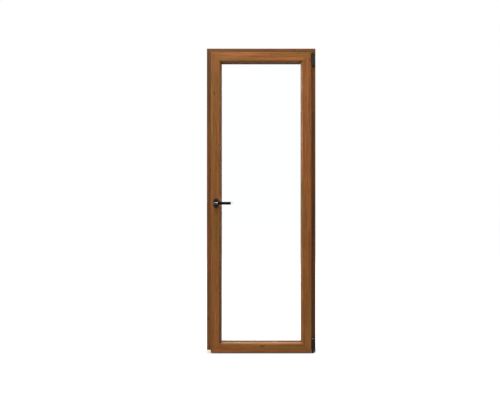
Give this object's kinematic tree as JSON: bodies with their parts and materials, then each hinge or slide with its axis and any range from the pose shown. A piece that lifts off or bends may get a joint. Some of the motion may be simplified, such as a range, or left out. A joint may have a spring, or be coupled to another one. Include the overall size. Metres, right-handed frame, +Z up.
{
  "type": "pvc balcony door",
  "caption": "Side-hung glazed PVC balcony door in wood-grain foil, with frame, low threshold, lever handle and turning leaf.",
  "frame": {"origin": "on the floor under the middle of the frame, at half the frame's depth, on the underside of the threshold", "axes": "+X to the right seen from the room, +Y outdoors, +Z up"},
  "size_m": [0.75, 0.1445, 2.1],
  "materials": {
    "frame_foil": "oak-grain foil on white PVC, satin",
    "sash_foil": "oak-grain foil on PVC, satin",
    "bead_foil": "oak-grain foil on PVC, satin",
    "threshold_aluminium": "natural anodised",
    "dark_plastic": "moulded, matt",
    "glass": "clear float",
    "spacer": "mill",
    "gasket": "matt",
    "zinc_steel": "bright zinc",
    "black_hardware": "black, semi-gloss"
  },
  "bodies": {
    "frame": {"frame_head": "frame_foil", "frame_lock_jamb": "frame_foil", "frame_hinge_jamb": "frame_foil", "frame_seal": "gasket", "threshold_inner_rail": "threshold_aluminium", "threshold_core": "dark_plastic", "threshold_outer_rail": "threshold_aluminium", "lock_jamb_foot": "dark_plastic", "hinge_jamb_foot": "dark_plastic", "lock_keep_1": "zinc_steel", "lock_keep_2": "zinc_steel", "lock_keep_3": "zinc_steel", "lock_keep_4": "zinc_steel", "top_hinge_bearing": "black_hardware", "top_hinge_pin": "zinc_steel", "top_hinge_cover": "black_hardware", "bottom_hinge_bearing": "black_hardware", "bottom_hinge_pin": "zinc_steel", "bottom_hinge_cover": "black_hardware"},
    "leaf": {"sash_top_rail": "sash_foil", "sash_bottom_rail": "sash_foil", "sash_lock_stile": "sash_foil", "sash_hinge_stile": "sash_foil", "bead_top": "bead_foil", "bead_bottom": "bead_foil", "bead_lock_side": "bead_foil", "bead_hinge_side": "bead_foil", "glass_inner_pane": "glass", "glass_outer_pane": "glass", "glass_spacer": "spacer", "glazing_seal_inner": "gasket", "glazing_seal_outer": "gasket", "sash_seal": "gasket", "bottom_seal": "gasket", "lock_faceplate": "zinc_steel", "lock_cam_1": "zinc_steel", "lock_cam_2": "zinc_steel", "lock_cam_3": "zinc_steel", "lock_cam_4": "zinc_steel", "top_hinge_band": "black_hardware", "bottom_hinge_band": "black_hardware", "handle_rosette": "black_hardware"},
    "handle": {"handle_lever": "black_hardware", "handle_spindle": "zinc_steel"}
  },
  "joints": [
    {"name": "leaf_turn", "type": "hinge", "parent": "frame", "child": "leaf", "pos_m": [0.3555, -0.0485, 0], "axis": [0, 0, 1], "range_deg": [0, 100]},
    {"name": "handle_turn", "type": "hinge", "parent": "leaf", "child": "handle", "pos_m": [-0.31, -0.0684, 1.032], "axis": [0, -1, 0], "range_deg": [-90, 0]}
  ]
}
